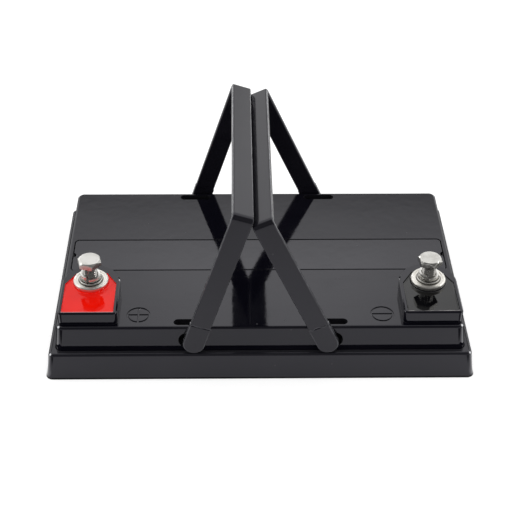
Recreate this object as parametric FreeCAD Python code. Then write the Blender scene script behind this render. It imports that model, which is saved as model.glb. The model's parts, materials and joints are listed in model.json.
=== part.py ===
"""Low sealed lead acid battery with two folding strap handles, in millimetres.

The origin is the centre of the underside, +X runs along the length with the positive terminal
at -X, -Y is the long side that carries the terminals, and +Z is up.
"""
import FreeCAD, Part
import math
import os
from FreeCAD import Vector as V

# Case, the outer band with its floor
CASE_LENGTH = 229.8
CASE_WIDTH = 138.8
CASE_HEIGHT = 15.6
CASE_DRAFT = 1.7          # how far the foot stands out past the rim
CASE_FLOOR = 3.0
CASE_CORNER = 3.0
CASE_FOOT_ROUND = 0.8
RIM_ROUND = 1.5
ROUND_STEPS = 3           # flats that make up each rounded outer edge
RIM_WIDTH = 4.8           # from the case's outer edge to the lid's top outline
LEDGE_DROP = 0.6          # how far the ledge beside the lid lies below the rim
LID_SEAT = 9.0            # height of the shoulder that the lid's skirt stands on
LID_GAP = 0.15

# Lid
LID_HEIGHT = 15.0         # above the case's rim
LID_WALL = 2.6
LID_ROOF = 3.0
LID_CORNER = 4.0
LID_EDGE_ROUND = 1.6
LID_END_DRAFT = 1.4       # how far the lid's ends lean out towards the ledge
LID_SIDE_DRAFT = 0.4      # the same on the long sides, where the handles turn

# Cells
CELLS = 6
PARTITION = 2.0
PARTITION_TOP = 14.0      # where the case's partitions meet the lid's ribs
CELL_GAP = 0.3
PLATE_COUNT = 4           # positive plates in each cell
POSITIVE_PLATE = 2.4
NEGATIVE_PLATE = 1.8
PLATE_TOP = 14.0
MAT_FOLD = 1.0            # the glass mat under the plates
LUG_WIDTH = 8.0
STRAP_BASE = 15.2
STRAP_HEIGHT = 3.0
STRAP_WIDTH = 12.0
RISER = 2.0
LINK_SIZE = 4.0
LINK_GAP = 0.05

# Terminal blocks on the lid
TERMINAL_FROM_END = 17.1
TERMINAL_FROM_FRONT = 30.9
BLOCK_HALF_WIDTH = 16.0
BLOCK_HEIGHT = 7.5
BLOCK_FROM_FRONT = 3.0
BLOCK_CORNER = 2.5
BLOCK_EDGE_ROUND = 0.8
BLOCK_WALL = 2.5
SEAL_FRAME = 2.0
SEAL_FRONT_FRAME = 1.3
SEAL_DEPTH = 3.0
SEAL_DROP = 0.2
SEAL_REAR = 7.5           # how far the resin reaches behind the terminal's centre
SEAL_CHAMFER = 9.4
SEAL_CHAMFER_ALONG = 5.6

# Terminal insert, post and hardware
FLANGE_RADIUS = 9.6
FLANGE_RISE = 2.2         # above the block's top
FLANGE_CHAMFER = 0.7
FLANGE_RIM = 1.6          # raised rim round the shallow seat of the washer
FLANGE_SEAT = 0.5
BODY_FLATS = 13.0         # the insert's six-sided body, which can't turn in the lid
BORE_DEPTH = 11.0
POST_RADIUS = 6.0
SLIDE_GAP = 0.05
BOLT_RADIUS = 4.0
BOLT_LENGTH = 20.0
BOLT_STAND = 5.6          # thread left to show, because the bolt isn't screwed home
HEAD_FLATS = 12.0
HEAD_HEIGHT = 3.5
FLAT_WASHER_RADIUS = 6.45
FLAT_WASHER_THICK = 1.2
WASHER_BORE = 4.1
SPRING_RADIUS = 5.6
SPRING_THICK = 2.0
SPRING_HEIGHT = 3.8
SPRING_BORE = 4.15
SPRING_SPLIT = 14.0       # degrees left open between the split ends
SPRING_START = 250.0      # where the lower end lies, turning from +X
SPRING_STEPS = 30
HEAD_TURNS = {"positive": 44.5, "negative": 40.3}

# Vent cover, its trough and the valve caps
COVER_FROM_END = 3.4      # from the lid's end to the cover's end
COVER_WIDTH = 28.8
COVER_THICK = 2.4
COVER_CORNER = 2.3
COVER_GROOVE = 0.5
COVER_OFFSET = 0.9        # towards the rear
COVER_EDGE_BEVEL = 0.3
NOTCH_WIDTH = 4.0
NOTCH_DEPTH = 1.5
TROUGH_LEDGE = 3.0        # the step all round that carries the cover
TROUGH_DEPTH = 8.0
TROUGH_WALL = 1.8
SPOUT_RADIUS = 4.2
SPOUT_BORE = 2.5
SPOUT_HEIGHT = 4.6
CAP_WALL = 1.6
CAP_TOP = 1.2
HOLD_RIB = 1.6            # the cover's ribs that hold the caps down

# Polarity marks
MARK_FROM_END = 43.9
MARK_FROM_FRONT = 11.0
MARK_RADIUS = 5.9
MARK_STROKE = 0.9
MARK_DEPTH = 0.5
MARK_SIDES = 32

# Handles
PIVOT_X = 36.0
PIVOT_FROM_TOP = 8.7
HANDLE_REACH = 87.0       # from the pivot to the grip's outer face
STRAP_HANDLE_WIDTH = 11.3
STRAP_HANDLE_THICK = 3.2
HANDLE_BEND = 3.6
HANDLE_EDGE = 0.6
PAD_RADIUS = 5.9
PAD_LENGTH = 12.5
PAD_RISE = 0.4
PAD_EDGE = 0.4
HANDLE_GAP = 0.3          # beside the lid, and between the two handles at rest
RIGHT_LEAN = 24.6
STUD_RADIUS = 4.0
STUD_GAP = 0.08
STUD_HEAD = 4.7
STUD_HEAD_LENGTH = 1.9
STUD_TIP = 1.0            # lead-in chamfer of the snap head

# Pivot pockets in the lid
ENTRY_RADIUS = 4.9        # keyhole end that lets the snap head in
ENTRY_SHIFT = 3.5         # from the pivot out to the keyhole end
SLOT_LENGTH = 18.4
SLOT_WIDTH = 4.8
SLOT_WALL = 2.3
SLOT_OUTBOARD = 1.7       # slot's centre past the pivot
SLOT_BELOW = 0.3

# Worked out from the above
LID_TOP = CASE_HEIGHT + LID_HEIGHT
LID_X = CASE_LENGTH / 2 - RIM_WIDTH
LID_Y = CASE_WIDTH / 2 - RIM_WIDTH
FOOT_X = LID_X + LID_END_DRAFT
FOOT_Y = LID_Y + LID_SIDE_DRAFT
LEDGE = CASE_HEIGHT - LEDGE_DROP
COVER_LENGTH = 2 * (LID_X - COVER_FROM_END)
CELL_X = LID_X - LID_WALL
CELL_Y = LID_Y - LID_WALL
CELL_LENGTH = (2 * CELL_X - (CELLS - 1) * PARTITION) / CELLS
CELL_PITCH = CELL_LENGTH + PARTITION
ROOF_BASE = LID_TOP - LID_ROOF
TERMINAL_X = LID_X - TERMINAL_FROM_END
TERMINAL_Y = TERMINAL_FROM_FRONT - LID_Y
BLOCK_TOP = LID_TOP + BLOCK_HEIGHT
BLOCK_FRONT = BLOCK_FROM_FRONT - LID_Y
SEAL_FLOOR = BLOCK_TOP - SEAL_DEPTH
FLANGE_TOP = BLOCK_TOP + FLANGE_RISE
COVER_SEAT = LID_TOP - COVER_THICK
TROUGH_FLOOR = COVER_SEAT - TROUGH_DEPTH
TROUGH_X = COVER_LENGTH / 2 - TROUGH_LEDGE
TROUGH_Y = COVER_WIDTH / 2 - TROUGH_LEDGE
WASHER_SEAT = FLANGE_TOP - FLANGE_SEAT
PIVOT_Z = LID_TOP - PIVOT_FROM_TOP
SLOT_Y = LID_Y - SLOT_WALL - SLOT_WIDTH / 2
SLOT_FLOOR = PIVOT_Z - STUD_HEAD - SLOT_BELOW
SIGNS = {"positive": -1, "negative": 1}
UP = V(0, 0, 1)
HIDDEN_SIDES = 12         # flats that stand for a round where nothing shows it


def block(x0, x1, y0, y1, z0, z1):
    return Part.makeBox(x1 - x0, y1 - y0, z1 - z0, V(x0, y0, z0))


def rod(radius, z0, z1, x=0.0, y=0.0):
    return Part.makeCylinder(radius, z1 - z0, V(x, y, z0))


def prism(sides, flats, z0, z1, x=0.0, y=0.0, turn=0.0):
    """Upright regular prism, measured across its flats."""
    corner = flats / 2 / math.cos(math.pi / sides)
    angles = [math.radians(turn) + 2 * math.pi * k / sides for k in range(sides + 1)]
    ring = Part.makePolygon([V(x + corner * math.cos(a), y + corner * math.sin(a), z0) for a in angles])
    return Part.Face(ring).extrude(V(0, 0, z1 - z0))


def rounded_wire(half_x, half_y, radius, z, y=0.0):
    """Rectangle with round corners, level, centred on x = 0."""
    corners = [(1, 1, 0), (-1, 1, 90), (-1, -1, 180), (1, -1, 270)]
    arcs = []
    for sx, sy, start in corners:
        centre = V(sx * (half_x - radius), y + sy * (half_y - radius), z)
        circle = Part.Circle(centre, UP, radius)
        arcs.append(circle.toShape(math.radians(start), math.radians(start + 90)))
    edges = []
    for arc, following in zip(arcs, arcs[1:] + arcs[:1]):
        edges.append(arc)
        edges.append(Part.makeLine(arc.Vertexes[-1].Point, following.Vertexes[0].Point))
    return Part.Wire(edges)


def rounded_slab(half_x, half_y, radius, z0, z1, y=0.0):
    return Part.Face(rounded_wire(half_x, half_y, radius, z0, y)).extrude(V(0, 0, z1 - z0))


def rounded_body(levels, corner):
    """Body over level rounded outlines from below: half length, half width, height, inset."""
    wires = [rounded_wire(half_x, half_y, corner - inset, z) for half_x, half_y, z, inset in levels]
    return Part.makeLoft(wires, True, True)


def quarter_round(half_x, half_y, z, radius, rising):
    """Levels of a rounded edge: rising above a foot, or closing below a top."""
    levels = []
    for k in range(ROUND_STEPS + 1):
        angle = math.pi / 2 * k / ROUND_STEPS
        inset, drop = radius * (1 - math.sin(angle)), radius * (1 - math.cos(angle))
        levels.append((half_x - inset, half_y - inset, z + drop if rising else z - drop, inset))
    return levels if rising else levels[::-1]


def obround(x0, x1, y, width, z0, z1):
    """Upright prism over a slot outline that reaches from x0 to x1."""
    low, high = min(x0, x1), max(x0, x1)
    r = width / 2
    bar = block(low + r, high - r, y - r, y + r, z0, z1)
    return bar.fuse([rod(r, z0, z1, low + r, y), rod(r, z0, z1, high - r, y)]).removeSplitter()


def edges_at(shape, z, tolerance=1e-4):
    """Edges that lie wholly in the level plane at z."""
    return [e for e in shape.Edges
            if abs(e.BoundBox.ZMin - z) < tolerance and abs(e.BoundBox.ZMax - z) < tolerance]


def save(name, shape):
    shape = shape.removeSplitter()
    assert shape.isValid(), name
    shape.exportStep(f"parts/{name}.step")
    return shape


# Case
def cell_centre(index):
    return -CELL_X + CELL_LENGTH / 2 + index * CELL_PITCH


def link_side(index):
    """Side, -1 front or +1 rear, of the link from cell index to the next."""
    return 1 if index % 2 == 0 else -1


def make_case():
    foot_x, foot_y = CASE_LENGTH / 2 + CASE_DRAFT, CASE_WIDTH / 2 + CASE_DRAFT
    levels = quarter_round(foot_x, foot_y, 0, CASE_FOOT_ROUND, True)
    levels += quarter_round(CASE_LENGTH / 2, CASE_WIDTH / 2, CASE_HEIGHT, RIM_ROUND, False)
    body = rounded_body(levels, CASE_CORNER)
    cuts = [rounded_slab(FOOT_X + LID_GAP, FOOT_Y + LID_GAP, LID_CORNER + LID_GAP, LID_SEAT, CASE_HEIGHT + 1),
            rounded_slab(CASE_LENGTH / 2 - RIM_ROUND, CASE_WIDTH / 2 - RIM_ROUND, CASE_CORNER, LEDGE,
                         CASE_HEIGHT + 1)]
    for i in range(CELLS):
        x = cell_centre(i)
        cuts.append(block(x - CELL_LENGTH / 2, x + CELL_LENGTH / 2, -CELL_Y, CELL_Y, CASE_FLOOR, CASE_HEIGHT))
    body = body.cut(cuts)
    for i in range(CELLS - 1):
        x = cell_centre(i) + CELL_PITCH / 2
        body = body.fuse(block(x - PARTITION / 2, x + PARTITION / 2, -CELL_Y + CELL_GAP, CELL_Y - CELL_GAP,
                               LID_SEAT - 1, PARTITION_TOP))
    return body


def link_bar(index, size, length):
    """Square weld bar along X from one cell's strap to the next."""
    x, y = cell_centre(index) + CELL_PITCH / 2, link_side(index) * -TERMINAL_Y
    z = STRAP_BASE + STRAP_HEIGHT / 2
    return block(x - length / 2, x + length / 2, y - size / 2, y + size / 2, z - size / 2, z + size / 2)


# Lid
def terminal_outline(sign, half, front, rear_flat, z0, z1):
    """Block outline: a straight front with rounded corners and a round arch about the terminal."""
    x = sign * TERMINAL_X
    face = block(x - half, x + half, front, rear_flat, z0, z1)
    upright = [e for e in face.Edges if e.BoundBox.ZLength > (z1 - z0) / 2 and e.BoundBox.YMin < front + 0.01]
    face = face.makeFillet(max(BLOCK_CORNER - (BLOCK_HALF_WIDTH - half), 0.4), upright)
    return face.fuse(rod(half, z0, z1, x, rear_flat)).removeSplitter()


def seal_outline(sign, grow, z0, z1):
    """Resin pool: square at the front, with two chamfered corners behind the terminal."""
    x = sign * TERMINAL_X
    half = BLOCK_HALF_WIDTH - SEAL_FRAME + grow
    front = BLOCK_FRONT + SEAL_FRONT_FRAME - grow
    rear = TERMINAL_Y + SEAL_REAR + grow
    points = [(x - half, front), (x + half, front), (x + half, rear - SEAL_CHAMFER),
              (x + half - SEAL_CHAMFER_ALONG, rear), (x - half + SEAL_CHAMFER_ALONG, rear),
              (x - half, rear - SEAL_CHAMFER)]
    ring = Part.makePolygon([V(px, py, z0) for px, py in points + points[:1]])
    return Part.Face(ring).extrude(V(0, 0, z1 - z0))


def terminal_block(sign):
    solid = terminal_outline(sign, BLOCK_HALF_WIDTH, BLOCK_FRONT, TERMINAL_Y, ROOF_BASE, BLOCK_TOP)
    return solid.makeChamfer(BLOCK_EDGE_ROUND, edges_at(solid, BLOCK_TOP))


def block_core(sign):
    """Hollow under a terminal block, with a boss left round the insert."""
    half = BLOCK_HALF_WIDTH - BLOCK_WALL
    core = terminal_outline(sign, half, BLOCK_FRONT + BLOCK_WALL, TERMINAL_Y, ROOF_BASE - 1,
                            SEAL_FLOOR - BLOCK_WALL)
    return core.cut(insert_boss(sign))


def insert_boss(sign):
    return prism(6, BODY_FLATS + 2 * BLOCK_WALL, ROOF_BASE - 2 * BLOCK_WALL, BLOCK_TOP, sign * TERMINAL_X,
                 TERMINAL_Y)


def polarity_mark(sign):
    x, y = sign * (LID_X - MARK_FROM_END), MARK_FROM_FRONT - LID_Y
    low, high = LID_TOP - MARK_DEPTH, LID_TOP + 1
    half = MARK_STROKE / 2
    ring = prism(MARK_SIDES, 2 * (MARK_RADIUS + half), low, high, x, y)
    ring = ring.cut(prism(MARK_SIDES, 2 * (MARK_RADIUS - half), low, high, x, y))
    strokes = [block(x - MARK_RADIUS, x + MARK_RADIUS, y - half, y + half, low, high)]
    if sign == SIGNS["positive"]:
        strokes.append(block(x - half, x + half, y - MARK_RADIUS, y + MARK_RADIUS, low, high))
    return ring.fuse(strokes)


def pivot_pocket(sx, sy):
    """Everything cut for one handle pivot: the slot from above and the keyhole from the side."""
    slot_x = sx * (PIVOT_X + SLOT_OUTBOARD)
    slot = obround(slot_x - SLOT_LENGTH / 2, slot_x + SLOT_LENGTH / 2, sy * SLOT_Y, SLOT_WIDTH, SLOT_FLOOR,
                   LID_TOP + 1)
    holes = [Part.makeCylinder(radius, SLOT_WALL + 2, V(sx * (PIVOT_X + shift), sy * (LID_Y + 1), PIVOT_Z),
                               V(0, -sy, 0))
             for radius, shift in ((STUD_RADIUS + STUD_GAP, 0), (ENTRY_RADIUS, ENTRY_SHIFT))]
    return slot.fuse(holes).removeSplitter()


def pivot_boss(sx, sy, grow=0.0):
    """Plastic kept round a slot inside the cell space."""
    slot_x = sx * (PIVOT_X + SLOT_OUTBOARD)
    reach = SLOT_LENGTH / 2 + LID_WALL + grow
    y0, y1 = sorted((sy * (SLOT_Y - SLOT_WIDTH / 2 - LID_WALL - grow), sy * LID_Y))
    return block(slot_x - reach, slot_x + reach, y0, y1, SLOT_FLOOR - LID_WALL - grow, LID_TOP)


def trough(grow, z0, z1):
    x, y = TROUGH_X + grow, TROUGH_Y + grow
    return block(-x, x, COVER_OFFSET - y, COVER_OFFSET + y, z0, z1)


def lid_cavities():
    """The six cell spaces inside the lid, open below."""
    kept = [pivot_boss(sx, sy) for sx in (-1, 1) for sy in (-1, 1)]
    kept.append(trough(TROUGH_WALL, TROUGH_FLOOR - TROUGH_WALL, LID_TOP))
    for sign in SIGNS.values():
        kept.append(insert_boss(sign))
    spaces = block(-CELL_X, CELL_X, -CELL_Y, CELL_Y, LID_SEAT - 1, ROOF_BASE)
    for i in range(CELLS - 1):
        x = cell_centre(i) + CELL_PITCH / 2
        kept.append(block(x - PARTITION / 2, x + PARTITION / 2, -CELL_Y, CELL_Y, PARTITION_TOP, ROOF_BASE))
    return spaces.cut(kept)


def make_lid():
    levels = [(FOOT_X, FOOT_Y, LID_SEAT, 0), (FOOT_X, FOOT_Y, LEDGE, 0)]
    levels += quarter_round(LID_X, LID_Y, LID_TOP, LID_EDGE_ROUND, False)
    body = rounded_body(levels, LID_CORNER)
    body = body.fuse([terminal_block(sign) for sign in SIGNS.values()]).removeSplitter()
    body = body.cut(lid_cavities())
    body = body.cut([block_core(sign) for sign in SIGNS.values()])
    groove = COVER_GROOVE
    cuts = [rounded_slab(COVER_LENGTH / 2 + groove, COVER_WIDTH / 2 + groove, COVER_CORNER + groove,
                         COVER_SEAT, LID_TOP + 1, COVER_OFFSET)]
    spout_top = TROUGH_FLOOR + SPOUT_HEIGHT
    spouts = [prism(HIDDEN_SIDES, 2 * SPOUT_RADIUS, TROUGH_FLOOR - 1, spout_top, cell_centre(i), COVER_OFFSET)
              for i in range(CELLS)]
    cuts.append(trough(0, TROUGH_FLOOR, COVER_SEAT).cut(spouts))
    cuts += [prism(HIDDEN_SIDES, 2 * SPOUT_BORE, TROUGH_FLOOR - TROUGH_WALL - 1, spout_top, cell_centre(i),
                   COVER_OFFSET) for i in range(CELLS)]
    cuts += [link_bar(i, LINK_SIZE + 2 * LINK_GAP, PARTITION + 1) for i in range(CELLS - 1)]
    for sign in SIGNS.values():
        x = sign * TERMINAL_X
        cuts.append(seal_outline(sign, 0, SEAL_FLOOR, BLOCK_TOP + 1))
        cuts.append(rod(FLANGE_RADIUS + SLIDE_GAP, SEAL_FLOOR, BLOCK_TOP + 1, x, TERMINAL_Y))
        cuts.append(prism(6, BODY_FLATS + 2 * SLIDE_GAP, ROOF_BASE - 2 * BLOCK_WALL - 1, BLOCK_TOP, x,
                          TERMINAL_Y))
        cuts.append(polarity_mark(sign))
    cuts += [pivot_pocket(sx, sy) for sx in (-1, 1) for sy in (-1, 1)]
    return body.cut(cuts)


# Vent cover and valve caps
def make_cover():
    body = rounded_slab(COVER_LENGTH / 2, COVER_WIDTH / 2, COVER_CORNER, COVER_SEAT, LID_TOP, COVER_OFFSET)
    for sign in (-1, 1):
        x = sign * COVER_LENGTH / 2
        body = body.cut(obround(x - sign * NOTCH_DEPTH, x + sign * NOTCH_WIDTH, COVER_OFFSET, NOTCH_WIDTH,
                                COVER_SEAT - 1, LID_TOP + 1))
    body = body.makeChamfer(COVER_EDGE_BEVEL, edges_at(body, LID_TOP))
    base = TROUGH_FLOOR + SPOUT_HEIGHT + CAP_TOP + SLIDE_GAP
    reach, half = SPOUT_RADIUS + CAP_WALL, HOLD_RIB / 2
    ribs = []
    for i in range(CELLS):
        x = cell_centre(i)
        ribs.append(block(x - reach, x + reach, COVER_OFFSET - half, COVER_OFFSET + half, base, COVER_SEAT))
        ribs.append(block(x - half, x + half, COVER_OFFSET - reach, COVER_OFFSET + reach, base, COVER_SEAT))
    return body.fuse(ribs)


def make_cap(index):
    x = cell_centre(index)
    top = TROUGH_FLOOR + SPOUT_HEIGHT + CAP_TOP
    shell = prism(HIDDEN_SIDES, 2 * (SPOUT_RADIUS + CAP_WALL), TROUGH_FLOOR + CELL_GAP, top, x, COVER_OFFSET)
    return shell.cut(prism(HIDDEN_SIDES, 2 * (SPOUT_RADIUS + SLIDE_GAP), TROUGH_FLOOR, top - CAP_TOP, x,
                           COVER_OFFSET))


# Terminals
def make_seal(sign):
    resin = seal_outline(sign, 0, SEAL_FLOOR, BLOCK_TOP - SEAL_DROP)
    return resin.cut(rod(FLANGE_RADIUS + SLIDE_GAP, SEAL_FLOOR - 1, BLOCK_TOP + 1, sign * TERMINAL_X,
                         TERMINAL_Y))


def make_insert(sign):
    x = sign * TERMINAL_X
    flange = rod(FLANGE_RADIUS, SEAL_FLOOR, FLANGE_TOP, x, TERMINAL_Y)
    flange = flange.makeChamfer(FLANGE_CHAMFER, edges_at(flange, FLANGE_TOP))
    flange = flange.cut(rod(FLANGE_RADIUS - FLANGE_RIM, WASHER_SEAT, FLANGE_TOP + 1, x, TERMINAL_Y))
    body = flange.fuse(prism(6, BODY_FLATS, ROOF_BASE - BLOCK_WALL, SEAL_FLOOR, x, TERMINAL_Y))
    return body.cut(prism(HIDDEN_SIDES, 2 * (BOLT_RADIUS + SLIDE_GAP), FLANGE_TOP - BORE_DEPTH,
                          FLANGE_TOP + 1, x, TERMINAL_Y))


def make_post(sign):
    return prism(HIDDEN_SIDES, 2 * POST_RADIUS, STRAP_BASE + STRAP_HEIGHT, ROOF_BASE - BLOCK_WALL,
                 sign * TERMINAL_X, TERMINAL_Y)


def make_flat_washer(sign):
    x = sign * TERMINAL_X
    top = WASHER_SEAT + FLAT_WASHER_THICK
    disc = rod(FLAT_WASHER_RADIUS, WASHER_SEAT, top, x, TERMINAL_Y)
    disc = disc.makeChamfer(FLAT_WASHER_THICK / 5, edges_at(disc, top))
    return disc.cut(prism(HIDDEN_SIDES, 2 * WASHER_BORE, WASHER_SEAT, top, x, TERMINAL_Y))


def make_spring_washer(sign):
    """One turn of square wire as straight lengths, with its split ends apart."""
    base = WASHER_SEAT + FLAT_WASHER_THICK + SLIDE_GAP
    climb = SPRING_HEIGHT - SPRING_THICK - 2 * SLIDE_GAP
    stations = []
    for k in range(SPRING_STEPS + 1):
        share = k / SPRING_STEPS
        angle = math.radians(SPRING_START + (360 - SPRING_SPLIT) * share)
        low = base + climb * share
        spots = [(SPRING_BORE, low), (SPRING_RADIUS, low), (SPRING_RADIUS, low + SPRING_THICK),
                 (SPRING_BORE, low + SPRING_THICK)]
        stations.append([V(sign * TERMINAL_X + r * math.cos(angle), TERMINAL_Y + r * math.sin(angle), z)
                         for r, z in spots])
    faces = [Part.Face(Part.makePolygon(end + end[:1])) for end in (stations[0], stations[-1])]
    for near, far in zip(stations, stations[1:]):
        for k in range(4):
            a, b, c, d = near[k - 1], near[k], far[k], far[k - 1]
            faces += [Part.Face(Part.makePolygon([a, b, c, a])), Part.Face(Part.makePolygon([a, c, d, a]))]
    coil = Part.Solid(Part.Shell(faces))
    return coil if coil.Volume > 0 else coil.reversed()


def make_bolt(sign, turn):
    x = sign * TERMINAL_X
    base = WASHER_SEAT + FLAT_WASHER_THICK + SPRING_HEIGHT + BOLT_STAND
    corner = HEAD_FLATS / math.sqrt(3)
    head = prism(6, HEAD_FLATS, base, base + HEAD_HEIGHT, x, TERMINAL_Y, turn)
    drop = (corner - HEAD_FLATS / 2) * math.tan(math.radians(30))
    trim = rod(corner, base - 1, base + HEAD_HEIGHT, x, TERMINAL_Y)
    trim = trim.makeChamfer(corner - HEAD_FLATS / 2 + drop, edges_at(trim, base + HEAD_HEIGHT))
    return head.common(trim).fuse(rod(BOLT_RADIUS, base - BOLT_LENGTH, base, x, TERMINAL_Y))


# Cell elements
def plate_stack(index):
    """Places of the plates and mat leaves across one cell, as lists of x ranges."""
    negatives = PLATE_COUNT + 1
    leaves = PLATE_COUNT + negatives + 1
    used = PLATE_COUNT * POSITIVE_PLATE + negatives * NEGATIVE_PLATE
    leaf = (CELL_LENGTH - 2 * CELL_GAP - used) / leaves
    x = cell_centre(index) - CELL_LENGTH / 2 + CELL_GAP
    stack = {"mat": [(x, x + leaf)], "negative": [], "positive": []}
    x += leaf
    for n in range(leaves - 1):
        kind, thick = ("positive", POSITIVE_PLATE) if n % 2 else ("negative", NEGATIVE_PLATE)
        stack[kind].append((x, x + thick))
        stack["mat"].append((x + thick, x + thick + leaf))
        x += thick + leaf
    return stack


def plate_y():
    return CELL_Y - 2 * CELL_GAP


def strap_y(index, kind):
    """Front or rear place of a strap: the poles change sides from cell to cell."""
    side = -1 if index % 2 == 0 else 1
    return (side if kind == "positive" else -side) * -TERMINAL_Y


def make_plates(index, kind):
    ranges = plate_stack(index)[kind]
    base, top, y = CASE_FLOOR + MAT_FOLD, PLATE_TOP, strap_y(index, kind)
    pieces = []
    for x0, x1 in ranges:
        pieces.append(block(x0, x1, -plate_y(), plate_y(), base, top))
        pieces.append(block(x0, x1, y - LUG_WIDTH / 2, y + LUG_WIDTH / 2, top - 0.5, STRAP_BASE + 0.5))
    x = cell_centre(index)
    half = CELL_LENGTH / 2 - CELL_GAP
    pieces.append(block(x - half, x + half, y - STRAP_WIDTH / 2, y + STRAP_WIDTH / 2,
                        STRAP_BASE, STRAP_BASE + STRAP_HEIGHT))
    toward = -1 if kind == "positive" else 1
    last = index == (0 if kind == "positive" else CELLS - 1)
    if not last:
        x0, x1 = sorted((x + toward * half, x + toward * (half - RISER)))
        pieces.append(block(x0, x1, y - STRAP_WIDTH / 2, y + STRAP_WIDTH / 2, STRAP_BASE,
                            STRAP_BASE + STRAP_HEIGHT / 2 + LINK_SIZE / 2))
    return pieces[0].fuse(pieces[1:])


def make_mat(index):
    leaves = plate_stack(index)["mat"]
    y = CELL_Y - CELL_GAP
    sheet = block(leaves[0][0], leaves[-1][1], -y, y, CASE_FLOOR, CASE_FLOOR + MAT_FOLD)
    return sheet.fuse([block(x0, x1, -y, y, CASE_FLOOR, PLATE_TOP) for x0, x1 in leaves])


def make_link(index):
    return link_bar(index, LINK_SIZE, PARTITION + 2 * CELL_GAP)


# Handles
def left_lean():
    """Lean at which the left handle's inner edge rests on the right grip's bevelled inner corner."""
    half = STRAP_HANDLE_WIDTH / 2
    right = math.radians(RIGHT_LEAN)
    corner = HANDLE_REACH - HANDLE_EDGE
    across = 2 * PIVOT_X - corner * math.sin(right) - half * math.cos(right)
    rise = corner * math.cos(right) - half * math.sin(right)
    reach = math.hypot(across, rise)
    return math.degrees(math.atan2(across, rise) - math.asin((half + HANDLE_GAP) / reach))


def strap_loop():
    """Upright U of flat strap, with the pivot axis on the Y axis."""
    inner = FOOT_Y + HANDLE_GAP
    outer = inner + STRAP_HANDLE_THICK
    top = HANDLE_REACH
    x = -STRAP_HANDLE_WIDTH / 2
    under = block(x, -x, -inner, inner, -1, top - STRAP_HANDLE_THICK)
    loop = block(x, -x, -outer, outer, 0, top)
    loop = loop.makeFillet(HANDLE_BEND, upper_bends(loop, outer, top))
    under = under.makeFillet(HANDLE_BEND - STRAP_HANDLE_THICK,
                             upper_bends(under, inner, top - STRAP_HANDLE_THICK))
    loop = loop.cut(under)
    long_edges = [e for e in loop.Edges if e.BoundBox.XLength < 0.01 and e.BoundBox.ZMax > 0.01]
    return loop.makeChamfer(HANDLE_EDGE, long_edges)


def upper_bends(solid, y, z):
    return [e for e in solid.Edges
            if abs(abs(e.CenterOfMass.y) - y) < 0.01 and abs(e.CenterOfMass.z - z) < 0.01]


def pivot_end(sy):
    """Thicker round end of an arm, with the stud and snap head that hold it in the lid."""
    inner = FOOT_Y + HANDLE_GAP
    thick = STRAP_HANDLE_THICK + PAD_RISE
    along = V(0, -sy, 0)
    start = sy * (inner + thick)
    disc = Part.makeCylinder(PAD_RADIUS, thick, V(0, start, 0), along)
    y0, y1 = sorted((start, sy * inner))
    pad = disc.fuse(block(-PAD_RADIUS, PAD_RADIUS, y0, y1, 0, PAD_LENGTH)).removeSplitter()
    outline = [e for e in pad.Edges if abs(e.BoundBox.YMin - start) < 0.01 and abs(e.BoundBox.YMax - start) < 0.01]
    pad = pad.makeChamfer(PAD_EDGE, outline)
    clear = LID_Y - SLOT_WALL - HANDLE_GAP
    stud = Part.makeCylinder(STUD_RADIUS, inner + 1 - clear, V(0, sy * (inner + 1), 0), along)
    seat = sy * clear
    head = Part.makeCylinder(STUD_HEAD, STUD_HEAD_LENGTH - STUD_TIP, V(0, seat, 0), along)
    tip = Part.makeCone(STUD_HEAD, STUD_HEAD - STUD_TIP, STUD_TIP,
                        V(0, seat - sy * (STUD_HEAD_LENGTH - STUD_TIP), 0), along)
    return pad.fuse([stud, head, tip])


def make_handle(sign, lean):
    handle = strap_loop().fuse([pivot_end(-1), pivot_end(1)])
    handle.rotate(V(0, 0, 0), V(0, 1, 0), -sign * lean)
    handle.translate(V(sign * PIVOT_X, 0, PIVOT_Z))
    return handle


def main():
    os.makedirs("parts", exist_ok=True)
    save("case", make_case())
    save("lid", make_lid())
    save("vent_cover", make_cover())
    for i in range(CELLS):
        save(f"valve_cap_{i + 1}", make_cap(i))
        save(f"positive_plates_{i + 1}", make_plates(i, "positive"))
        save(f"negative_plates_{i + 1}", make_plates(i, "negative"))
        save(f"glass_mat_{i + 1}", make_mat(i))
    for i in range(CELLS - 1):
        save(f"cell_link_{i + 1}", make_link(i))
    for pole, sign in SIGNS.items():
        save(f"{pole}_seal", make_seal(sign))
        save(f"{pole}_terminal", make_insert(sign))
        save(f"{pole}_post", make_post(sign))
        save(f"{pole}_flat_washer", make_flat_washer(sign))
        save(f"{pole}_spring_washer", make_spring_washer(sign))
        save(f"{pole}_bolt", make_bolt(sign, HEAD_TURNS[pole]))
    save("handle_left", make_handle(-1, left_lean()))
    save("handle_right", make_handle(1, RIGHT_LEAN))
    print("left handle lean", round(left_lean(), 3), "degrees")


main()
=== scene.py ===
# %% [markdown]
# # A low sealed battery with two folding strap handles
# The object is a black moulded tray with a raised lid, two raised terminal blocks, bright
# bolts and washers, a long flush vent strip, and two flat strap handles that lean together.
# The solids come from a CAD program and stay as they are. This script dresses them: it welds
# and softens copies of the solids, models the small metal pieces, and paints every surface.

# %% Load the solids
import json
import math

import bpy
from mathutils import Matrix, Vector


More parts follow.
